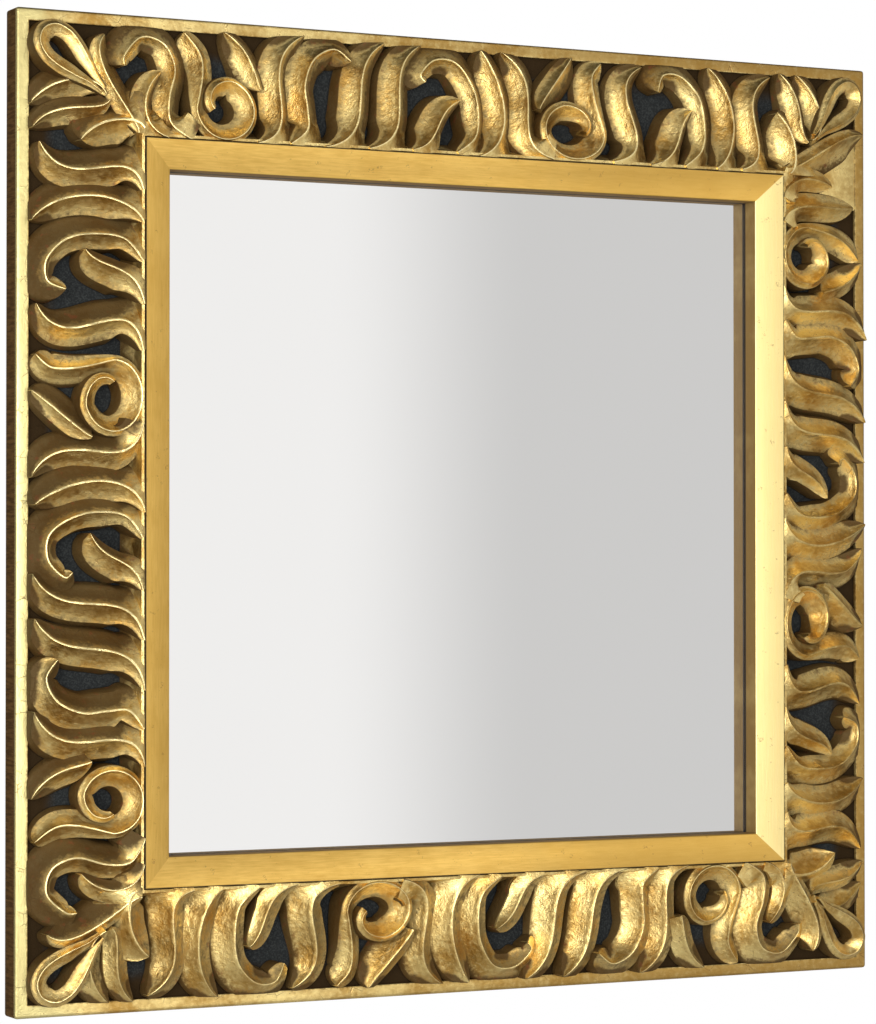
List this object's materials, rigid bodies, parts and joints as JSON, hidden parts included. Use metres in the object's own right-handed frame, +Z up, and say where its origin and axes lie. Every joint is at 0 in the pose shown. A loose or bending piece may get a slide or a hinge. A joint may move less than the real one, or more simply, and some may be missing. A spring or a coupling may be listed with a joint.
{
  "type": "wall mirror",
  "caption": "Square wall mirror in a deep carved and gilded wooden frame of running acanthus leaves, with a plain sloping inner moulding.",
  "frame": {"origin": "middle of the mirror on the back face, where the mirror lies against the wall", "axes": "+Z up, +Y into the wall, the mirror faces -Y"},
  "size_m": [0.7, 0.0418, 0.7],
  "materials": {
    "gilded_wood": "worn gold leaf on carved wood, brown in the recesses",
    "gilded_slip": "burnished gold leaf with fine grain",
    "silvered_glass": "clear silvered mirror",
    "backing_wood": "plain dull wood"
  },
  "bodies": {
    "root": {"carved_frame": "gilded_wood", "sight_moulding": "gilded_slip", "mirror_glass": "silvered_glass", "backing_board": "backing_wood"}
  },
  "joints": []
}
